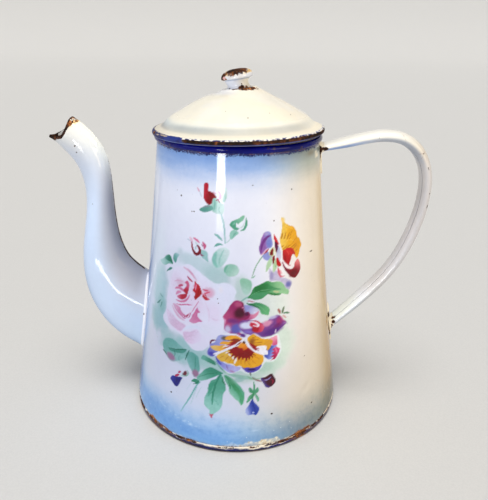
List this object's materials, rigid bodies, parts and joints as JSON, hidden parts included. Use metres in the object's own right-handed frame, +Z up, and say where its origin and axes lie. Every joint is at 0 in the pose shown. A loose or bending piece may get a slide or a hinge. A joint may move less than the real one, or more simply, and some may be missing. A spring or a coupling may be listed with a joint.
{
  "type": "coffee pot",
  "caption": "Tapered enamelled sheet-steel coffee pot with gooseneck spout, hollow strap handle, domed lift-off lid and painted flower bouquet.",
  "frame": {"origin": "centre of the foot ring, on the plane the pot stands on", "axes": "+Z up through the knob, spout along -X, handle along +X, +Y completes a right-handed frame"},
  "size_m": [0.2593, 0.1542, 0.2398],
  "materials": {
    "pot_enamel": "glossy vitreous enamel, chipped",
    "foot_enamel": "glossy blue enamel, chipped to rusty steel",
    "spout_enamel": "glossy vitreous enamel, rusty at the seam and mouth",
    "handle_enamel": "glossy vitreous enamel, rusty at the joints",
    "lid_enamel": "glossy vitreous enamel, chipped edge",
    "knob_enamel": "glossy vitreous enamel, chipped to rusty steel",
    "steel_wire": "drawn wire, dull",
    "rusty_steel": "rusted"
  },
  "bodies": {
    "pot": {"body_shell": "pot_enamel", "rim_wire": "steel_wire", "base_disc": "foot_enamel", "spout_flange": "spout_enamel", "spout_near_half": "spout_enamel", "spout_far_half": "spout_enamel", "handle_channel": "handle_enamel", "handle_strip": "handle_enamel", "handle_top_plate": "handle_enamel", "handle_tail_plate": "handle_enamel"},
    "lid": {"lid_dome": "lid_enamel", "lid_edge_wire": "steel_wire", "lid_collar": "lid_enamel", "knob_cap": "knob_enamel", "knob_neck": "knob_enamel", "knob_rivet": "rusty_steel", "rivet_washer": "rusty_steel"}
  },
  "joints": [
    {"name": "lid_lift", "type": "slide", "parent": "pot", "child": "lid", "axis": [0, 0, 1], "range_m": [0, 0.06]}
  ]
}
